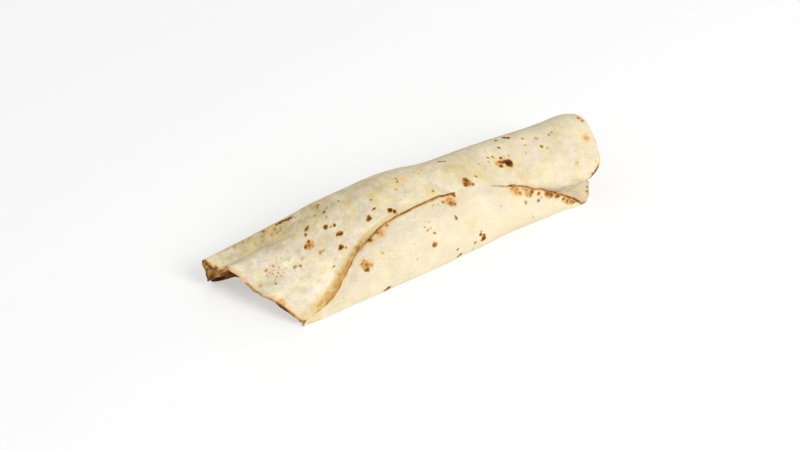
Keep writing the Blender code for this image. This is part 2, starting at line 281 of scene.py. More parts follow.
# Toasted spots in millimetres: along the roll, towards the flap, radius, strength at the middle
UPPER_SPOTS = (
    # the large cluster right of the middle
    (58.6, -46.6, 3.2, 2.4), (57.2, -46, 2.4, 2.1), (55.2, -45.5, 1.7, 1.3),
    (53.4, -44.8, 1.6, 1.25), (52.3, -47.6, 1.8, 1.4), (55.6, -42.2, 1.6, 1.1),
    (50.7, -40.6, 1.4, 0.6), (47.6, -40.4, 1.2, 0.65), (46.3, -43.3, 1.1, 0.45),
    (61.6, -41.4, 0.9, 0.6),
    # the brown spot near the middle
    (24.5, -53.9, 2.4, 1.3), (22.8, -56.6, 2.3, 1.15), (27.2, -57.4, 1.8, 0.9),
    (24.6, -55.6, 3.6, 0.72), (32.4, -52.5, 1.4, 0.75),
    # along the top, right half
    (62.2, -27.2, 1.2, 1.4), (68.6, -26.5, 1.9, 1.4), (70.6, -27.9, 1.7, 1.5),
    (59, -34.6, 1.4, 0.85), (78, -32.4, 1.3, 0.6), (76, -37.5, 1, 0.55), (73, -43, 1, 0.45),
    (85.7, -42.2, 1.5, 0.85), (88.5, -44.3, 1.1, 0.55), (95.5, -36.5, 1.5, 0.5),
    (98, -35.5, 1.2, 0.5), (86, -35.5, 2.2, 0.3), (18.5, -35.6, 1.3, 1), (21.2, -37, 1.1, 0.85),
    (19.8, -36.2, 1, 0.8), (30.8, -30.1, 1, 0.4), (39.4, -43.9, 1, 0.45),
    # the round end
    (120.5, -34, 1.6, 0.85), (121.6, -37, 1.4, 0.6), (115.5, -47.5, 1.8, 0.25),
    (111.7, -71.2, 1.6, 0.95), (113.7, -69.6, 1.5, 0.8), (102, -60, 2.6, 0.2),
    # above the flap's edge, middle
    (0.6, -57.2, 1.3, 0.65), (-28.3, -57.4, 1.8, 1.8), (-26.6, -59.6, 1.6, 1.6),
    (-26, -61.5, 1, 0.6), (-41, -54.5, 2, 1.45), (-36, -51.4, 1.4, 1.2), (-34.8, -45.7, 1, 0.65),
    (-14.9, -41.4, 1.1, 0.6), (-15.4, -44, 1.3, 0.5), (-19.1, -48.4, 1, 0.55),
    (-5.5, -39.5, 0.9, 0.45), (-0.6, -43.2, 0.9, 0.45), (-48.9, -32.3, 1, 0.6),
    # left half
    (-63.9, -40.8, 1.9, 1.25), (-59.4, -44.1, 1.4, 1.05), (-61.6, -42.8, 1, 0.4),
    (-60.2, -50, 1.5, 1.2), (-58.2, -51, 1.5, 1.2), (-59.2, -50.5, 1.6, 1.2),
    (-62.8, -57.3, 2.1, 1.4), (-60.4, -59.6, 1.1, 0.55), (-59.3, -32.2, 1.2, 1),
    (-59.8, -25.6, 1.3, 0.75), (-58.2, -24.4, 1.2, 0.95), (-64.2, -29.6, 1.4, 0.5),
    (-56.5, -31, 1.4, 0.4), (-60.5, -36.5, 1.3, 0.4), (-73.2, -33.2, 1.8, 1.1),
    (-71.6, -32.6, 1.2, 0.9), (-75.4, -35.8, 1.4, 0.85), (-76, -40.4, 1.3, 1.15),
    (-78.9, -41.4, 1.6, 1.2), (-76.9, -42.1, 2.6, 0.6), (-75.2, -44.2, 1.5, 0.65),
    (-73.7, -50.6, 1.7, 0.45), (-71.8, -50.9, 1.3, 0.4), (-89.8, -47.8, 1.9, 0.42),
    (-87.2, -49.3, 1.8, 0.48), (-84, -46, 2, 0.22), (-71.5, -63.3, 1.2, 0.5),
    (-75.3, -16.6, 1.6, 1.4), (-74, -16.9, 1.4, 1.2), (-76.9, -15.8, 1.6, 1.4),
    (-78.5, -15.1, 1.6, 1.3), (-80.6, -14.6, 1.6, 1.2), (-82.6, -14.2, 1.4, 1.1),
    (-91.1, -12.6, 1.8, 0.7), (-93, -27, 2.4, 0.2), (-88.5, -18, 2, 0.3), (-85.5, -16, 2.4, 0.4),
    # faint ring of dots on the flat end
    (-104.6, -39.7, 1.6, 0.45), (-100, -39.5, 1.2, 0.4), (-102.5, -43.5, 1.3, 0.42),
    (-99.5, -45, 1.2, 0.34), (-97.5, -42, 1, 0.32), (-104.5, -50.5, 1.6, 0.42),
    (-112.5, -47, 2, 0.25), (-103.4, -41.6, 0.8, 0.5), (-101.4, -46.6, 0.8, 0.5),
    (-99, -47.6, 0.9, 0.45), (-98.6, -43.4, 0.7, 0.45), (-100.8, -42, 0.7, 0.45),
    (-103.6, -47.8, 0.8, 0.45), (-105.6, -42.6, 0.8, 0.5), (-97, -46.6, 0.7, 0.4),
    (-101.6, -38, 0.7, 0.4),
    # the curled rim of the flat end
    (-126.2, -17.3, 1.7, 0.95), (-124.6, -20.6, 1.6, 0.85),
)
FLAP_SPOTS = (
    # the toasted right part of its edge
    (51.5, 110.5, 1.9, 0.42), (54.9, 109, 2, 0.5), (55.3, 105.5, 2.2, 0.62),
    (58.8, 107.8, 1.3, 0.55), (60.8, 106, 2.4, 0.52), (64.4, 103, 2.6, 0.9),
    (62.4, 101.8, 2.4, 0.55), (59.6, 102.6, 1.2, 0.55), (69.3, 99.9, 1.8, 0.85),
    (67.7, 95.3, 1.6, 0.9), (70.6, 96.2, 1.2, 0.45), (57, 98.6, 1.9, 0.5), (76, 97.4, 3.6, 0.95),
    (78.4, 95.4, 2.8, 1), (83, 92.6, 2.8, 1.1), (87.6, 88.4, 1.8, 0.95), (90.6, 84.2, 1.9, 0.95),
    (90.8, 85.7, 1.6, 0.85), (92.4, 86.4, 1.6, 0.85), (96, 81.4, 2.1, 0.9), (94, 82.8, 2, 0.75),
    # the end of the dark edge in the middle
    (11.2, 122.6, 1.9, 1.15), (6.1, 118.4, 2.8, 0.72), (8, 117, 1.7, 0.8),
    (1.9, 120.6, 1.4, 0.65), (-1.4, 120.6, 1.1, 0.42), (-4.6, 121, 1, 0.35), (4.4, 109, 1.5, 0.9),
    # the broad face
    (22.3, 88.2, 2.4, 1.6), (19.6, 92.4, 1.5, 1.3), (22, 90.6, 1.5, 1.3), (20.2, 94.5, 1.1, 0.9),
    (15.9, 87.8, 1.3, 0.8), (16.2, 81.1, 1.3, 0.75), (5.6, 82.3, 1.8, 1.5), (4.4, 81, 1.6, 1.3),
    (2.2, 88.8, 1.4, 0.85), (-13.5, 98, 2.1, 0.85), (-12.1, 105, 1.3, 0.72),
    (-15.3, 107.8, 1.1, 0.55), (-16.4, 110, 0.9, 0.45), (-13.3, 108.2, 0.9, 0.45),
    (-12.8, 111.6, 0.8, 0.3), (-14.5, 113, 0.8, 0.35), (62.5, 86, 1.2, 0.4),
    (37.5, 103.5, 2, 0.2), (-56.6, 98.4, 1.9, 1.15), (-56, 100.8, 2.4, 0.6),
    (-53.3, 100, 1.3, 0.5), (-58, 102.7, 1.1, 0.8), (-56.2, 103.8, 1.1, 0.5),
    (-54.6, 101, 1.2, 0.5), (-45, 104, 1.2, 0.3), (-25.5, 93, 1.5, 0.28), (-45.6, 81.2, 2.1, 1.6),
    (-47.3, 80.2, 1.7, 1.3), (-48, 114.6, 1.9, 1.2), (-42, 117, 1.6, 0.75),
    (-35.4, 119.4, 1.9, 0.55),
)
# Soft orange blush in millimetres: along the roll, towards the flap, radius and strength
BLUSHES = (
    (53.5, 108.5, 6, 2.3), (61.5, 104, 5, 2.2), (69.5, 99, 3.5, 1.3), (77, 96, 4.6, 1.8),
    (82.5, 92, 4, 1.4), (89, 87.5, 4.6, 2.1), (94, 83.5, 5, 2.4), (6.5, 119.5, 5.6, 2.5),
    (-56.3, 101, 5.2, 2.2), (-41, 116, 4.4, 1.8), (-48, 113, 4.4, 1), (-35, 119, 3.5, 1),
    (-13.5, 98, 4.2, 0.35), (22, 89, 4.2, 0.35), (-76.6, -42.3, 3.8, 3.4), (57, -45.8, 6, 1.4),
    (52.5, -46, 4.5, 1.9), (51, -41, 4, 0.4), (24.6, -55.8, 5, 1.6), (116, -48.5, 4.6, 1.6),
    (-12.8, -44, 5.6, 0.8), (120.5, -35.5, 4.4, 1), (-41, -54.5, 4.2, 0.45),
    (-59.2, -50.4, 4.6, 0.55), (-62.8, -57.3, 4.8, 0.5), (-28, -58.5, 4.2, 0.3),
    (70, -27.5, 4, 0.3), (-73.5, -50.8, 4, 0.6), (-35, -48.5, 4.5, 0.3), (-64, -28, 5, 0.4),
    (-88, -17, 6, 0.5), (-112.5, -47, 4.5, 0.5), (-102, -42, 7, 0.5), (-100, 36, 8, 0.3),
    (-99, 83, 5, 0.8), (-93, 85, 4.5, 0.5), (-86, 90, 4, 0.3),
)
# Spots on the inside of the sheet, where it shows at the two ends
INNER_SPOTS = (
    (-129.6, -2.6, 2.2, 1), (-129, -6, 2.2, 0.8), (-128, 3.2, 5.2, 1.25), (-125.5, 7, 4.5, 1.1),
    (-121.6, 15.6, 5.5, 1.2), (-124, 12, 4.5, 1), (-122.6, 2.6, 1.4, 0.6), (121.4, 56, 1.3, 0.8),
    (118, 60.6, 1.3, 0.8),
)
# Painted warm light on the inside at the round end, as an orange blush, for light shining through
# the thin sheet
INNER_WARM_LIGHT = (
    (112, 62, 12, 0.35), (118, 59, 5, 0.5),
)
# Painted shade of fine creases on the inside at the round end, as dark lines, in millimetres: from
# and to, half width, strength
CREASES = (
    (108, 54, 124, 50, 0.7, 0.45), (108.5, 54.5, 112, 58.5, 0.6, 0.4),
    (104, 58, 109, 66, 0.6, 0.3),
)
INSIDE_MM = 60.0  # how far the inside's places are set off from the outside's
SHAKE_MM = 2.4  # how far spots and freckles are pulled out of shape
SHAKE_CELL_MM = 2.2
FRECKLE_CELL_MM = 5.0
FRECKLE_SHARE = 0.62  # how strongly the clearest freckles show
FRECKLE_PICK = (0.55, 1.0)  # which of the cells have one: from faint to clear
FRECKLE_REACH = (0.16, 0.05)  # its rim and its core, as shares of a cell
GRIT = 0.3  # how crumbly the toast is
GRIT_RISE = (0.0, 0.5)  # between these strengths of it
SPECULAR = 0.12
ROUGHNESS = (0.64, 0.5)  # of the dough and of dark toast
BUMP = 0.4
BUMP_HEIGHT = 0.0008

# ---------------- the view and the light
CAMERA_AZIMUTH = -34.8  # degrees
CAMERA_ELEVATION = 37.0
CAMERA_DISTANCE = 1.151
CAMERA_LENS_MM = 85.0
CAMERA_TARGET = (-0.0185, -0.0046, 0.0220)
KEY_AZIMUTH = 15.0  # the broad lamp at the front right
KEY_ELEVATION = 38.0
KEY_DISTANCE = 2.0
KEY_SIZE = 1.2
KEY_POWER = 25.0
SKY = 0.57
FLOOR_SIZE = 8.0
FLOOR_COLOUR = 0.62
FLOOR_GLOW = 0.42  # keeps the floor pale in the shadow
FLOOR_ROUGHNESS = 0.9
FLOOR_SPECULAR = 0.1


def ease(start, end, x):
    """Rise smoothly from 0 at start to 1 at end."""
    t = np.clip((x - start) / (end - start), 0.0, 1.0)
    return t * t * (3.0 - 2.0 * t)


def through(knots, values, x):
    """A smooth curve through the values at the knots, straight beyond the last ones."""
    knots = np.asarray(knots, dtype=float)
    values = np.asarray(values, dtype=float)
    slope = np.empty_like(values)
    slope[1:-1] = (values[2:] - values[:-2]) / (knots[2:] - knots[:-2])
    slope[0] = (values[1] - values[0]) / (knots[1] - knots[0])
    slope[-1] = (values[-1] - values[-2]) / (knots[-1] - knots[-2])
    i = np.clip(np.searchsorted(knots, x) - 1, 0, len(knots) - 2)
    span = knots[i + 1] - knots[i]
    t = (x - knots[i]) / span
    s = np.clip(t, 0.0, 1.0)
    curve = (
        (2 * s**3 - 3 * s**2 + 1) * values[i]
        + (s**3 - 2 * s**2 + s) * span * slope[i]
        + (3 * s**2 - 2 * s**3) * values[i + 1]
        + (s**3 - s**2) * span * slope[i + 1]
    )
    before = np.minimum(t, 0.0) * span * slope[0]
    after = np.maximum(t - 1.0, 0.0) * span * slope[-1]
    return curve + before + after


def at_least(height, level):
    """Keep a height above a level, with a soft bend where the two meet."""
    blend = np.maximum(SOFT_CONTACT - np.abs(height - level), 0.0) / SOFT_CONTACT
    return np.maximum(height, level) + blend * blend * SOFT_CONTACT / 4.0


def guide_polygon(x):
    """Corners (Y, Z) of one closed turn at each place along X, as two arrays of len(x) by SIDES."""
    place, *sizes = zip(*STATIONS)
    half_width, height, middle = (through(place, size, x)[:, None] for size in sizes)
    angle = np.radians([corner[0] for corner in ROUND_CORNERS])
    reach = np.array([corner[1] for corner in ROUND_CORNERS])
    centre = MIDDLE_HEIGHT * height
    radius = np.where(np.sin(angle) > 0.0, height - centre, centre)
    y = -half_width * np.cos(angle) * reach
    z = radius * np.sin(angle) * reach
    y = middle + y * (1.0 - TAPER * z / height)
    z = centre + z
    flat = np.array(FLAT_CORNERS)
    share = ease(FLAT_FROM, FLAT_AT, x)[:, None]
    return y + (flat[:, 0] - y) * share, z + (flat[:, 1] - z) * share


def inward(y, z):
    """Direction from each corner into the polygon, long enough to shift both its sides by one."""
    side_y = np.roll(y, -1, axis=1) - y
    side_z = np.roll(z, -1, axis=1) - z
    length = np.hypot(side_y, side_z)
    normal_y = -side_z / length
    normal_z = side_y / length
    sum_y = normal_y + np.roll(normal_y, 1, axis=1)
    sum_z = normal_z + np.roll(normal_z, 1, axis=1)
    length = np.hypot(sum_y, sum_z)
    cosine = (sum_y * normal_y + sum_z * normal_z) / length
    stretch = 1.0 / (length * np.clip(cosine, SHARPEST, 1.0))
    return sum_y * stretch, sum_z * stretch


def spiral(x, turn):
    """Points (Y, Z) of the sheet's middle. A turn counts corners from the flap to the inside."""
    polygon_y, polygon_z = guide_polygon(x)
    in_y, in_z = inward(polygon_y, polygon_z)
    layer = THICKNESS + LAYER_GAP
    places, rates = zip(*LOOSENESS)
    rate = np.interp(x, places, rates)
    row = np.arange(len(x))
    first = np.floor(turn).astype(int)
    f = turn - first
    weights = (
        (1 - f) ** 3 / 6,
        (3 * f**3 - 6 * f**2 + 4) / 6,
        (-3 * f**3 + 3 * f**2 + 3 * f + 1) / 6,
        f**3 / 6,
    )
    y = np.zeros(len(x))
    z = np.zeros(len(x))
    for step, weight in enumerate(weights):
        corner = first + step - 1
        side = corner % SIDES
        lift = rate * np.maximum(corner - LOOSE_FROM, 0.0) ** LOOSE_POWER
        shift = layer * corner / SIDES + np.minimum(lift, LOOSE_MOST)
        y += weight * (polygon_y[row, side] + in_y[row, side] * shift)
        z += weight * (polygon_z[row, side] + in_z[row, side] * shift)
    covered = ease(COVERED_FROM, SIDES, turn)
    return y, at_least(z, THICKNESS / 2 + layer * covered)


def turn_table(places, distances):
    """The turn at each place along X and each distance towards the flap."""
    turns = np.linspace(FIRST_TURN, LAST_TURN, TURN_STEPS)
    table = []
    for x in places:
        y, z = spiral(np.full(len(turns), x), turns)
        run = np.concatenate([[0.0], np.cumsum(np.hypot(np.diff(y), np.diff(z)))])
        run -= np.interp(FOLD_CORNER, turns, run)
        distance = (SHEET_RADIUS - FLAP_LENGTH) - run
        table.append(np.interp(distances, distance[::-1], turns[::-1]))
    return np.array(table)


def rolled(x, distance):
    """Points of the sheet's middle at places along X and distances towards the flap."""
    places = np.linspace(x.min(), x.max(), TABLE_PLACES)
    distances = np.linspace(-SHEET_RADIUS, SHEET_RADIUS, TABLE_DISTANCES)
    table = turn_table(places, distances)
    column = (x - places[0]) / (places[1] - places[0])
    line = (distance - distances[0]) / (distances[1] - distances[0])
    i = np.clip(column.astype(int), 0, len(places) - 2)
    j = np.clip(line.astype(int), 0, len(distances) - 2)
    a = column - i
    b = line - j
    turn = (
        (1 - a) * (1 - b) * table[i, j]
        + a * (1 - b) * table[i + 1, j]
        + (1 - a) * b * table[i, j + 1]
        + a * b * table[i + 1, j + 1]
    )
    y, z = spiral(x, turn)
    return np.stack([x, y, z], axis=1)


def row_spacing(v):
    """Rows from -1 to 1, moved so that they crowd together at the sharp turns."""
    even = np.linspace(-1.0, 1.0, ROW_STEPS)
    density = np.ones(len(even))
    for distance, half_length, more in SHARP_TURNS:
        density += more * np.exp(-(((even * SHEET_RADIUS - distance) / half_length) ** 2))
    total = np.concatenate([[0.0], np.cumsum((density[1:] + density[:-1]) / 2.0)])
    return np.interp((v + 1.0) / 2.0, total / total[-1], even)


def on_sheet(u, v):
    """Spread a square grid, -1 to 1 each way, over the sheet: place along X, distance to flap."""
    v = row_spacing(v)
    size = np.abs(v)
    tip = np.sqrt(1.0 - (1.0 - CORNER_ROW**2) * u * u) - CORNER_ROW
    around = np.sign(v) * (size * CORNER_ROW + tip * ease(STRAIGHT_ROWS, 1.0, size))
    along = u * np.sqrt(1.0 - (v * CORNER_ROW) ** 2)
    chord = np.sqrt(np.maximum(1.0 - around * around, 1e-9))
    distance = SHEET_RADIUS * around
    rows, left, right = zip(*RIM)
    left = -through(rows, left, distance) * chord
    right = through(rows, right, distance) * chord
    share = np.clip(along / chord, -1.0, 1.0) / 2.0 + 0.5
    return left + (right - left) * share, distance


def hills(x, y, cell, seed):
    """Smooth random heights from -1 to 1, one hill or hollow to each cell."""
    heights = np.random.default_rng(seed).uniform(-1.0, 1.0, (HILL_CELLS, HILL_CELLS))
    a = x / cell + HILL_CELLS / 2
    b = y / cell + HILL_CELLS / 2
    i = np.floor(a).astype(int) % (HILL_CELLS - 1)
    j = np.floor(b).astype(int) % (HILL_CELLS - 1)
    s = ease(0.0, 1.0, a - np.floor(a))
    t = ease(0.0, 1.0, b - np.floor(b))
    low = heights[i, j] * (1.0 - s) + heights[i + 1, j] * s
    high = heights[i, j + 1] * (1.0 - s) + heights[i + 1, j + 1] * s
    return low * (1.0 - t) + high * t


def grid_normals(points):
    """Unit normals of a grid of points, on the sheet's outside."""
    across = np.gradient(points, axis=1)
    around = np.gradient(points, axis=0)
    normals = np.cross(across, around)
    return normals / np.linalg.norm(normals, axis=2, keepdims=True)


def grid_border(rows, columns):
    """Row and column of each point on the grid's border, once round."""
    sides = np.s_[0, :-1], np.s_[:-1, -1], np.s_[-1, :0:-1], np.s_[:0:-1, 0]
    row, column = np.indices((rows, columns))
    return tuple(np.concatenate([grid[side] for side in sides]) for grid in (row, column))


def rim_traits(x, distance):
    """The traits of places on the rim, blended from the nearest ones of the table."""
    table = np.array(RIM_PLACES, dtype=float)
    gap = (x[:, None] * 1000 - table[:, 0]) ** 2 + (distance[:, None] * 1000 - table[:, 1]) ** 2
    weight = 1.0 / (gap + 1.0) ** 2
    return weight @ table[:, 2:] / weight.sum(axis=1, keepdims=True)


def sheet_grid():
    """The flat grid: places, distance to the rim, the nearest rim's traits, and the border."""
    columns = np.linspace(-1.0, 1.0, CELLS_ALONG + 1)
    rows = np.linspace(-1.0, 1.0, CELLS_AROUND + 1)
    u, v = np.meshgrid(columns, rows)
    x, distance = on_sheet(u.ravel(), v.ravel())
    x = x.reshape(u.shape)
    distance = distance.reshape(u.shape)
    border = grid_border(*u.shape)
    rim_x = x[border]
    rim_distance = distance[border]
    gap = np.hypot(
        x.ravel()[:, None] - rim_x[None, :], distance.ravel()[:, None] - rim_distance[None, :]
    )
    nearest = gap.argmin(axis=1).reshape(u.shape)
    to_rim = gap.min(axis=1).reshape(u.shape)
    traits = rim_traits(rim_x, rim_distance)[nearest]
    # the rim wanders in and out, more so at the very edge
    edge = ease(FRILL_DEPTH, 0.0, to_rim)
    edge = edge * (1.0 + (FRILL_REST - 1.0) * ease(*FRILL_CHANGE, x))
    around = np.arctan2(distance, x) * SHEET_RADIUS
    wander = hills(around, to_rim, FRILL_CELL, SEED)
    wander += hills(around, to_rim, FRILL_CELL / FRILL_FINER, SEED + 1) / 2.0
    further = edge * FRILL * wander
    for at_x, at_distance, long, out in TONGUES:
        away = np.hypot(rim_x[nearest] - at_x, rim_distance[nearest] - at_distance)
        further += out * np.exp(-((away / long) ** 2)) * ease(TONGUE_DEPTH, 0.0, to_rim)
    scale = 1.0 + further / np.maximum(np.hypot(x, distance), FRILL_CELL)
    return x * scale, distance * scale, to_rim, traits, border


def softened(points, x, distance):
    """The points with the slope and the fold at the flat end run into each other."""
    share = 1.0
    for place, (low, high, rise, fall) in ((x, SOFT_ALONG), (distance, SOFT_TO_FLAP)):
        share = share * ease(low, low + rise, place) * ease(high, high - fall, place)
    soft = points.copy()
    for _ in range(SOFT_STEPS):
        middle = (soft[:-2] + soft[2:]) / 2
        soft[1:-1] += 0.5 * share[1:-1, :, None] * (middle - soft[1:-1])
    return soft


def strength_at(areas, x, distance):
    """The summed strength of soft round areas at each place of the sheet."""
    strength = np.zeros(x.shape)
    for at_x, at_distance, radius, amount in areas:
        away = np.hypot(x * 1000 - at_x, distance * 1000 - at_distance)
        strength += amount * np.exp(-2.0 * (away / radius) ** 2)
    return strength


def flap_edge_shade_at(points, x, distance, border):
    """Painted shade on the layer under the flap's edge, by its distance to that edge."""
    flap = distance[border] > FLAP_FROM
    rim = points[border][flap]
    rim_x = x[border][flap] * 1000
    places, strength, width = zip(*FLAP_EDGE_SHADE)
    below = (distance < EDGE_SHADED_UP_TO) & (distance > EDGE_SHADED_FROM)
    gap = np.linalg.norm(points[below][:, None, :] - rim[None, :, :], axis=2)
    nearest = gap.argmin(axis=1)
    away = np.maximum(gap.min(axis=1) - (THICKNESS + LAYER_GAP), 0.0) * 1000
    reach = np.interp(rim_x[nearest], places, width)
    edge_shade = np.zeros(x.shape)
    edge_shade[below] = np.interp(rim_x[nearest], places, strength) * np.exp(-((away / reach) ** 2))
    return edge_shade


def tortilla_mesh():
    """The rolled sheet as a closed mesh with rounded rims, with its places on the flat sheet."""
    x, distance, to_rim, traits, border = sheet_grid()
    shape = x.shape
    line, band, band_width, pressed, slim = np.moveaxis(traits, -1, 0)
    points = rolled(x.ravel(), distance.ravel()).reshape(shape + (3,))
    points = softened(points, x, distance)
    normals = grid_normals(points)
    lift = SWELL * hills(x, distance, SWELL_CELL, SEED + 2)
    lift += CURL * ease(CURL_DEPTH, 0.0, to_rim) * hills(x, distance, FRILL_CELL, SEED + 3)
    for at_x, at_distance, long, wide, height in DENTS:
        reach = ((x - at_x) / long) ** 2 + ((distance - at_distance) / wide) ** 2
        lift += height * np.exp(-reach)
    bend = PRESSED_WITHIN * (1.0 + PRESSED_MORE * pressed)
    lift -= pressed / 1000 * ease(bend, 0.0, to_rim)
    points = points + normals * lift[..., None]
    points[..., 2] = np.maximum(points[..., 2], THICKNESS / 2)
    normals = grid_normals(points)

    thin = ease(THIN_WITHIN, 0.0, to_rim)
    outer = THICKNESS / 2 * (1.0 + (THIN_OUTER * slim - 1.0) * thin)
    inner = THICKNESS / 2 * (1.0 + (THIN_INNER * slim - 1.0) * thin)
    relief = RIPPLE * hills(x, distance, RIPPLE_CELL, SEED + 4)
    outside = points + normals * (outer + relief)[..., None]
    inside = points - normals * inner[..., None]

    # a rounded rim between the two sides
    rim = points[border]
    ahead = np.roll(rim, -1, axis=0) - np.roll(rim, 1, axis=0)
    out = np.cross(ahead, normals[border])
    out /= np.linalg.norm(out, axis=1, keepdims=True)
    within = points[np.clip(border[0], 1, shape[0] - 2), np.clip(border[1], 1, shape[1] - 2)]
    out *= np.sign(((rim - within) * out).sum(axis=1))[:, None]
    middle = (outside[border] + inside[border]) / 2
    half = (outside[border] - inside[border]) / 2
    reach = np.linalg.norm(half, axis=1, keepdims=True)
    rings = []
    for step in range(1, RIM_POINTS + 1):
        angle = math.pi * step / (RIM_POINTS + 1)
        rings.append(middle + half * math.cos(angle) + out * reach * math.sin(angle))

    everything = np.concatenate([outside.reshape(-1, 3), inside.reshape(-1, 3), *rings])
    everything[:, 2] = np.maximum(everything[:, 2], 0.0)
    everything[:, :2] += SHIFT

    index = np.arange(shape[0] * shape[1]).reshape(shape)
    quads = np.stack([index[:-1, :-1], index[:-1, 1:], index[1:, 1:], index[1:, :-1]], axis=-1)
    quads = quads.reshape(-1, 4)
    loops = [index[border]]
    for step in range(RIM_POINTS):
        start = 2 * index.size + step * len(border[0])
        loops.append(np.arange(start, start + len(border[0])))
    loops.append(index[border] + index.size)
    faces = [quads, quads[:, ::-1] + index.size]
    for near, far in zip(loops[:-1], loops[1:]):
        faces.append(np.stack([near, far, np.roll(far, -1), np.roll(near, -1)], axis=1))

    def spread(outer_values, inner_values):
        """Values for every point of the mesh, three for each, from those of its two sides."""
        outer_values = np.stack(outer_values, axis=-1)
        inner_values = np.stack(inner_values, axis=-1)
        sides = [outer_values.reshape(-1, 3), inner_values.reshape(-1, 3)]
        return np.concatenate(sides + [outer_values[border]] * RIM_POINTS)

    nothing = np.zeros(shape)
    band = band * ease(band_width / 1000, 0.0, to_rim)
    # broad patches: the dough's tone, with painted shade on the top back and painted light on the
    # flat end's front slope and inside the round end
    patches = strength_at(TONE_AND_SHADING_PATCHES, x, distance)
    # painted shade on the layer beside the flap's edge
    edge_shade = flap_edge_shade_at(points, x, distance, border)
    baked = ease(*BAKED_ALONG, x) * ease(*BAKED_TO_FLAP, distance) * ease(*BAKED_TO_BACK, distance)
    baked = baked * (1.0 - LESS_BAKED_BY * ease(*LESS_BAKED, distance))
    mottled = np.minimum(strength_at(MOTTLES, x, distance), 1.0) * MOTTLE_MOST
    flat = (x * 1000, distance * 1000)
    edge = (to_rim * 1000, line, band)
    values = {
        "sheet": spread((*flat, nothing), (*flat, nothing + INSIDE_MM)),
        "edge": spread(edge, edge),
        # tone: the broad patches (partly painted shade and light), the painted shade beside the
        # flap's edge, and the baked inside
        "tone": spread((patches, edge_shade, nothing), (patches, nothing, baked)),
        "mottled": spread((mottled, nothing, nothing), (MOTTLE_INSIDE * mottled, nothing, nothing)),
    }
    return everything, np.concatenate(faces), values


def node(tree, kind, settings=None, **inputs):
    """Add a node. An input goes by its name, or by its number after an underscore."""
    made = tree.nodes.new(kind)
    for name, value in (settings or {}).items():
        setattr(made, name, value)
    for name, value in inputs.items():
        socket = made.inputs[int(name[1:])] if name[1:].isdigit() else made.inputs[name]
        if isinstance(value, bpy.types.NodeSocket):
            tree.links.new(value, socket)
        else:
            socket.default_value = value
    return made


def sum_up(tree, operation, a, b=0.0, c=0.0):
    """One step of arithmetic."""
    return node(tree, "ShaderNodeMath", {"operation": operation}, _0=a, _1=b, _2=c).outputs[0]


def product(tree, a, b):
    """One number times another."""
    return sum_up(tree, "MULTIPLY", a, b)


def swing(tree, value, share, middle=0.0):
    """A noise's value turned into one that varies by this share about the middle."""
    return sum_up(tree, "MULTIPLY_ADD", value, share, middle - share / 2.0)


def vector(tree, operation, a, b=(0.0, 0.0, 0.0), c=(0.0, 0.0, 0.0)):
    """One step of arithmetic on three numbers at once."""
    made = node(tree, "ShaderNodeVectorMath", {"operation": operation}, _0=a, _1=b, _2=c)
    return made.outputs[0]


def number_from(tree, operation, a, b):
    """One number out of two sets of three, such as their distance."""
    made = node(tree, "ShaderNodeVectorMath", {"operation": operation}, _0=a, _1=b)
    return made.outputs["Value"]


def scaled(tree, a, share):
    """Three numbers, all times one share."""
    return node(tree, "ShaderNodeVectorMath", {"operation": "SCALE"}, _0=a, Scale=share).outputs[0]


def parts(tree, name):
    """The three numbers that the mesh holds under this name."""
    stored = node(tree, "ShaderNodeAttribute", {"attribute_name": name}).outputs["Vector"]
    return node(tree, "ShaderNodeSeparateXYZ", _0=stored).outputs


def between(tree, value, low, high, to_low=0.0, to_high=1.0):
    """The value's place between low and high, softly, as a number from to_low to to_high."""
    settings = {"interpolation_type": "SMOOTHSTEP"}
    ends = {"_1": low, "_2": high, "_3": to_low, "_4": to_high}
    return node(tree, "ShaderNodeMapRange", settings, _0=value, **ends).outputs[0]


def mixed(tree, share, a, b):
    """A colour between a and b."""
    made = tree.nodes.new("ShaderNodeMix")
    made.data_type = "RGBA"
    for socket, value in ((made.inputs[0], share), (made.inputs[6], a), (made.inputs[7], b)):
        if isinstance(value, bpy.types.NodeSocket):
            tree.links.new(value, socket)
        elif socket.type == "RGBA":
            socket.default_value = (*value, 1.0)
        else:
            socket.default_value = value
    return made.outputs[2]


def coloured(tree, base, strength, steps):
    """The colour turned into each step's own, from its first strength to its second."""
    for low, high, colour in steps:
        base = mixed(tree, between(tree, strength, low, high), base, colour)
    return base


def noise(tree, place, size_mm, detail=2.0, roughness=0.5):
    """Cloudy noise with blotches of about this size: one number, and three as a colour."""
    traits = {"Scale": 1.0 / size_mm, "Detail": detail, "Roughness": roughness}
    made = node(tree, "ShaderNodeTexNoise", Vector=place, **traits)
    return made.outputs[0], made.outputs["Color"]


def strongest_of(tree, place, outer_spots, inner_spots):
    """Strength of the strongest spot at a place, of those on the outside and on the inside."""
    spots = [(*spot, 0.0) for spot in outer_spots] + [(*spot, INSIDE_MM) for spot in inner_spots]
    strongest = None
    for x, distance, radius, strength, side in spots:
        away = number_from(tree, "DISTANCE", place, (x, distance, side))
        here = sum_up(tree, "MULTIPLY_ADD", away, -strength / radius, strength)
        strongest = here if strongest is None else sum_up(tree, "MAXIMUM", strongest, here)
    return strongest


def creased(tree, place):
    """Strength of the painted shade of the strongest fine crease at a place on the inside."""
    strongest = 0.0
    for x, distance, to_x, to_distance, wide, strength in CREASES:
        length = math.hypot(to_x - x, to_distance - distance)
        way = ((to_x - x) / length, (to_distance - distance) / length, 0.0)
        from_start = vector(tree, "SUBTRACT", place, (x, distance, INSIDE_MM))
        run = number_from(tree, "DOT_PRODUCT", from_start, way)
        run = node(tree, "ShaderNodeClamp", _0=run, _1=0.0, _2=length).outputs[0]
        away = number_from(tree, "DISTANCE", from_start, scaled(tree, way, run))
        here = between(tree, away, wide, 0.0, 0.0, strength)
        strongest = sum_up(tree, "MAXIMUM", strongest, here)
    return strongest


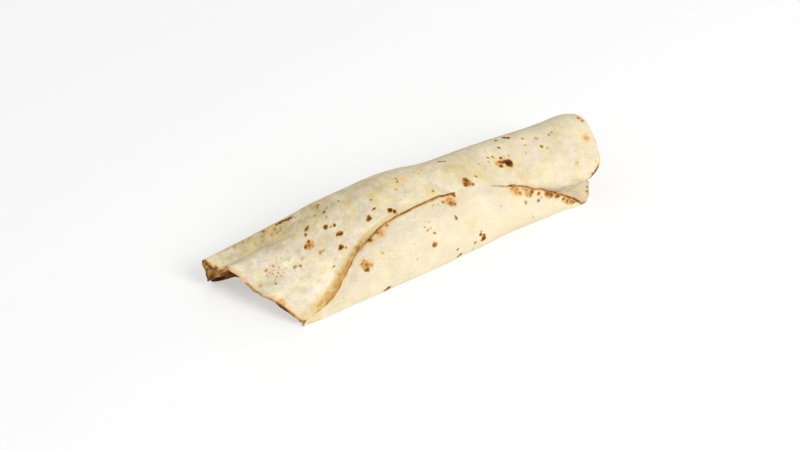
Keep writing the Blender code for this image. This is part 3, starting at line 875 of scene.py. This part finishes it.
def toast_ramp(tree, toast):
    """The colour of toast by its strength."""
    ramp = node(tree, "ShaderNodeValToRGB", _0=sum_up(tree, "DIVIDE", toast, TOAST_MOST))
    stops = ramp.color_ramp.elements
    while len(stops) < len(TOAST_COLOURS):
        stops.new(0.5)
    for stop, (position, colour) in zip(stops, TOAST_COLOURS):
        stop.position = position / TOAST_MOST
        stop.color = (*colour, 1.0)
    return ramp.outputs[0]


def cloudy(tree, colour, place, calm):
    """Vary a colour's lightness and each of its channels by fractal noise."""
    tone, _ = noise(tree, place, CLOUD_MM, 4.0, CLOUD_ROUGHNESS)
    aside = vector(tree, "ADD", place, (CLOUD_APART_MM, 0.0, 0.0))
    _, tint = noise(tree, aside, CLOUD_MM, 4.0, CLOUD_ROUGHNESS)
    tone = product(tree, swing(tree, tone, TONE_CLOUDS), calm)
    tone = node(tree, "ShaderNodeCombineXYZ", _0=tone, _1=tone, _2=tone).outputs[0]
    middle = tuple(-share / 2.0 for share in COLOUR_CLOUDS)
    tint = vector(tree, "MULTIPLY_ADD", tint, COLOUR_CLOUDS, middle)
    tint = scaled(tree, tint, between(tree, calm, *TINT_CALM_RISE, TINT_CALM, 1.0))
    both = vector(tree, "ADD", tone, tint)
    return vector(tree, "MULTIPLY", colour, vector(tree, "ADD", both, (1.0, 1.0, 1.0)))


def dough_colour(tree, place, grain):
    """Cream with pale and olive clouds, partly painted shade and light, and small brown mottles."""
    along, across, _ = node(tree, "ShaderNodeSeparateXYZ", _0=place).outputs
    olive = parts(tree, "tone")[0]
    mottled = parts(tree, "mottled")[0]
    drift, _ = noise(tree, place, DRIFT_MM, 3.0)
    veins, _ = noise(tree, place, VEINS_MM, 2.0)
    calm = between(tree, across, *TO_FLAP_MM, 1.0, FLAP_CALM)
    ends = between(tree, along, *TO_FLAT_END_MM, ROUND_END_CALM, FLAT_END_CALM)
    calm = product(tree, calm, ends)
    olive = sum_up(tree, "ADD", olive, swing(tree, drift, DRIFT))
    olive = sum_up(tree, "ADD", olive, product(tree, swing(tree, veins, VEINS), calm))
    base = cloudy(tree, coloured(tree, DOUGH, olive, OLIVE_COLOURS), place, calm)
    base = scaled(tree, base, swing(tree, grain, GRAIN, 1.0))
    brown, _ = noise(tree, place, MOTTLE_MM, 4.0, MOTTLE_ROUGHNESS)
    brown = product(tree, between(tree, brown, *MOTTLE_RISE), mottled)
    return mixed(tree, brown, base, MOTTLE_AND_CREASE_SHADE)


def shaded_and_baked(tree, base, place, uneven):
    """Painted shade beside the flap's edge and along the fine creases, and the baked inside."""
    _, edge_shade, baked = parts(tree, "tone")
    # painted shade, warm brown, beside the flap's edge
    base = coloured(tree, base, product(tree, edge_shade, uneven), FLAP_EDGE_SHADE_COLOURS)
    base = coloured(tree, base, product(tree, baked, uneven), BAKED_COLOURS)
    # painted shade along the fine creases
    return mixed(tree, creased(tree, place), base, MOTTLE_AND_CREASE_SHADE)


def freckled(tree, base, shaken):
    """The colour with faint freckles, one to some of the cells."""
    cells = node(tree, "ShaderNodeTexVoronoi", Vector=shaken, Scale=1 / FRECKLE_CELL_MM)
    pick = node(tree, "ShaderNodeSeparateColor", _0=cells.outputs["Color"]).outputs[0]
    share = product(tree, between(tree, pick, *FRECKLE_PICK), FRECKLE_SHARE)
    share = product(tree, share, between(tree, cells.outputs["Distance"], *FRECKLE_REACH))
    return mixed(tree, share, base, FRECKLE)


def dough_material():
    """Baked flour dough, with freckles, blush and toasted spots."""
    material = bpy.data.materials.new("dough_toasted")
    material.use_nodes = True
    tree = material.node_tree
    shader = tree.nodes["Principled BSDF"]
    place = node(tree, "ShaderNodeAttribute", {"attribute_name": "sheet"}).outputs["Vector"]
    to_rim, line, band = parts(tree, "edge")
    grain, _ = noise(tree, place, GRAIN_MM, 1.0)
    _, blotches = noise(tree, place, UNEVEN_MM, 2.0)
    first, second, third = node(tree, "ShaderNodeSeparateColor", _0=blotches).outputs

    base = dough_colour(tree, place, grain)
    # painted shade beside the flap's edge and along the fine creases, and the baked inside
    base = shaded_and_baked(tree, base, place, between(tree, first, *UNEVEN_EDGE_SHADE))
    _, shake = noise(tree, place, SHAKE_CELL_MM, 2.0)
    shake = vector(tree, "ADD", shake, (-0.5, -0.5, -0.5))
    shaken = vector(tree, "ADD", place, vector(tree, "MULTIPLY", shake, (SHAKE_MM,) * 3))
    base = freckled(tree, base, shaken)

    # blush, around the spots and in the band behind the rim, and painted warm light on the inside
    # at the round end
    behind = product(tree, band, between(tree, third, *UNEVEN_BAND))
    blush = strongest_of(tree, shaken, BLUSHES, INNER_WARM_LIGHT)
    blush = sum_up(tree, "MAXIMUM", blush, product(tree, behind, BAND_BLUSH))
    blush = product(tree, blush, between(tree, second, *UNEVEN_BLUSH))
    base = coloured(tree, base, blush, BLUSH_COLOURS)

    # toast, in the spots, along the rim's outermost line and in the band behind it; at the flat end
    # the line is partly painted shade under the edge
    toast = strongest_of(tree, shaken, UPPER_SPOTS + FLAP_SPOTS, INNER_SPOTS)
    rim = product(tree, sum_up(tree, "MULTIPLY_ADD", to_rim, -1.0 / LINE_MM, 1.0), line)
    rim = product(tree, rim, between(tree, second, *UNEVEN_LINE))
    behind = sum_up(tree, "MULTIPLY_ADD", behind, *BAND_TOAST)
    toast = sum_up(tree, "MAXIMUM", toast, sum_up(tree, "MAXIMUM", rim, behind))
    toast = sum_up(tree, "MAXIMUM", toast, 0.0)
    grit = product(tree, swing(tree, grain, GRIT), between(tree, toast, *GRIT_RISE))
    toast = sum_up(tree, "ADD", toast, grit)
    colour = mixed(tree, between(tree, toast, *TOAST_COVERS), base, toast_ramp(tree, toast))

    bump = node(tree, "ShaderNodeBump", Strength=BUMP, Distance=BUMP_HEIGHT, Height=first)
    shader.inputs["Specular IOR Level"].default_value = SPECULAR
    tree.links.new(colour, shader.inputs["Base Color"])
    rough = between(tree, toast, *TOAST_SMOOTH, *ROUGHNESS)
    tree.links.new(rough, shader.inputs["Roughness"])
    tree.links.new(bump.outputs[0], shader.inputs["Normal"])
    return material


def placed(name, data):
    """A new object with this data, in the scene."""
    made = bpy.data.objects.new(name, data)
    bpy.context.scene.collection.objects.link(made)
    return made


def make_tortilla():
    """The dressed tortilla in place of its CAD solid."""
    points, faces, values = tortilla_mesh()
    mesh = bpy.data.meshes.new("tortilla_skin")
    mesh.from_pydata(points.tolist(), [], faces.tolist())
    for name, rows in values.items():
        attribute = mesh.attributes.new(name, "FLOAT_VECTOR", "POINT")
        attribute.data.foreach_set("vector", rows.ravel())
    mesh.update()
    mesh.shade_smooth()
    mesh.materials.append(dough_material())
    skin = placed("tortilla_skin", mesh)
    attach(skin, "root")
    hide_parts("tortilla")


def aim(thing, azimuth, elevation, distance):
    """Put a camera or lamp at this azimuth and elevation from its target, and turn it there."""
    a = math.radians(azimuth)
    e = math.radians(elevation)
    way = Vector((math.sin(a) * math.cos(e), -math.cos(a) * math.cos(e), math.sin(e)))
    thing.location = Vector(CAMERA_TARGET) + way * distance
    direction = Vector(CAMERA_TARGET) - thing.location
    thing.rotation_euler = direction.to_track_quat("-Z", "Y").to_euler()


def make_camera():
    """The camera at the angle that shows the flap, both ends and the top."""
    data = bpy.data.cameras.new("camera")
    data.lens = CAMERA_LENS_MM
    camera = placed("camera", data)
    aim(camera, CAMERA_AZIMUTH, CAMERA_ELEVATION, CAMERA_DISTANCE)
    bpy.context.scene.camera = camera


def make_studio():
    """A pale floor, an even white sky and one broad lamp at the front right."""
    world = bpy.data.worlds.new("studio")
    world.use_nodes = True
    sky = world.node_tree.nodes["Background"]
    sky.inputs["Color"].default_value = (1.0, 1.0, 1.0, 1.0)
    sky.inputs["Strength"].default_value = SKY
    bpy.context.scene.world = world
    lamp = bpy.data.lights.new("key", "AREA")
    lamp.shape = "DISK"
    lamp.size = KEY_SIZE
    lamp.energy = KEY_POWER
    aim(placed("key", lamp), KEY_AZIMUTH, KEY_ELEVATION, KEY_DISTANCE)

    mesh = bpy.data.meshes.new("floor")
    half = FLOOR_SIZE / 2
    corners = [(-half, -half, 0), (half, -half, 0), (half, half, 0), (-half, half, 0)]
    mesh.from_pydata(corners, [], [(0, 1, 2, 3)])
    floor = placed("floor", mesh)
    material = bpy.data.materials.new("pale_floor")
    material.use_nodes = True
    shader = material.node_tree.nodes["Principled BSDF"]
    traits = {
        "Base Color": (FLOOR_COLOUR, FLOOR_COLOUR, FLOOR_COLOUR, 1.0),
        "Roughness": FLOOR_ROUGHNESS,
        "Specular IOR Level": FLOOR_SPECULAR,
        "Emission Color": (1.0, 1.0, 1.0, 1.0),
        "Emission Strength": FLOOR_GLOW,
    }
    for name, value in traits.items():
        shader.inputs[name].default_value = value
    floor.data.materials.append(material)
    bpy.context.scene.view_settings.view_transform = "Standard"


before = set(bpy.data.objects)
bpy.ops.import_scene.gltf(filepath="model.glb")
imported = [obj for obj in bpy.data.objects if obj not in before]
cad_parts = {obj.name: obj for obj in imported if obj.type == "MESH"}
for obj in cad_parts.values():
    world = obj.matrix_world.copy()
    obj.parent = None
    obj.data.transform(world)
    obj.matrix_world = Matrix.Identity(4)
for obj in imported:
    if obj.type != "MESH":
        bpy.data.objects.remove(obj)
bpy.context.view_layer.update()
make_camera()
make_studio()
make_tortilla()
